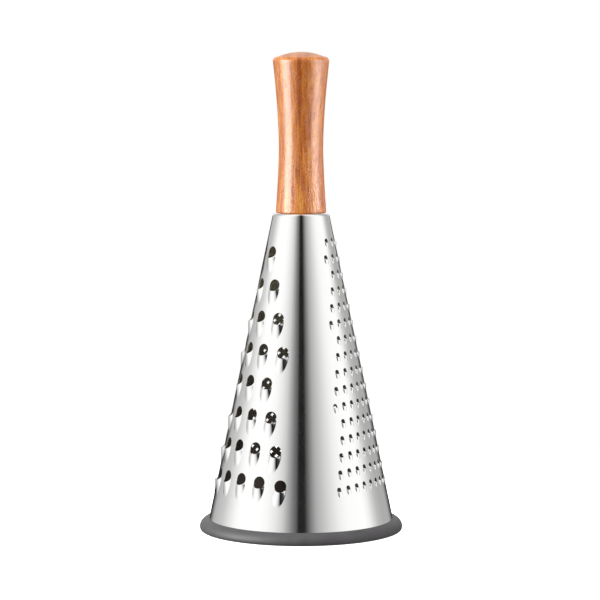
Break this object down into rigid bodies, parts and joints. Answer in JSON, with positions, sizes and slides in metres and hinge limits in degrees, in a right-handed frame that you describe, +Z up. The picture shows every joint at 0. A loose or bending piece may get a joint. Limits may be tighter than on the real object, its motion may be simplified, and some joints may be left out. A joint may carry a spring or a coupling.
{
  "type": "conical hand grater",
  "caption": "Cone-shaped stainless steel hand grater with coarse, fine and rasp faces, a turned wooden handle on top and a soft grip ring at the base.",
  "frame": {"origin": "centre of the base ring's underside, on the surface that the grater stands on", "axes": "+Z up along the cone's axis towards the handle; -Y towards the plain band between the coarse and the fine face"},
  "size_m": [0.128, 0.128, 0.3],
  "materials": {
    "stainless_sheet": "polished",
    "grey_rubber": "matte",
    "oiled_wood": "satin",
    "turned_brass": "satin",
    "zinc_steel": "satin"
  },
  "bodies": {
    "root": {"grating_cone": "stainless_sheet", "crown_plate": "stainless_sheet", "base_ring": "grey_rubber", "handle": "oiled_wood", "handle_insert": "turned_brass", "handle_screw": "zinc_steel", "flat_washer": "zinc_steel", "lock_washer": "zinc_steel"}
  },
  "joints": []
}
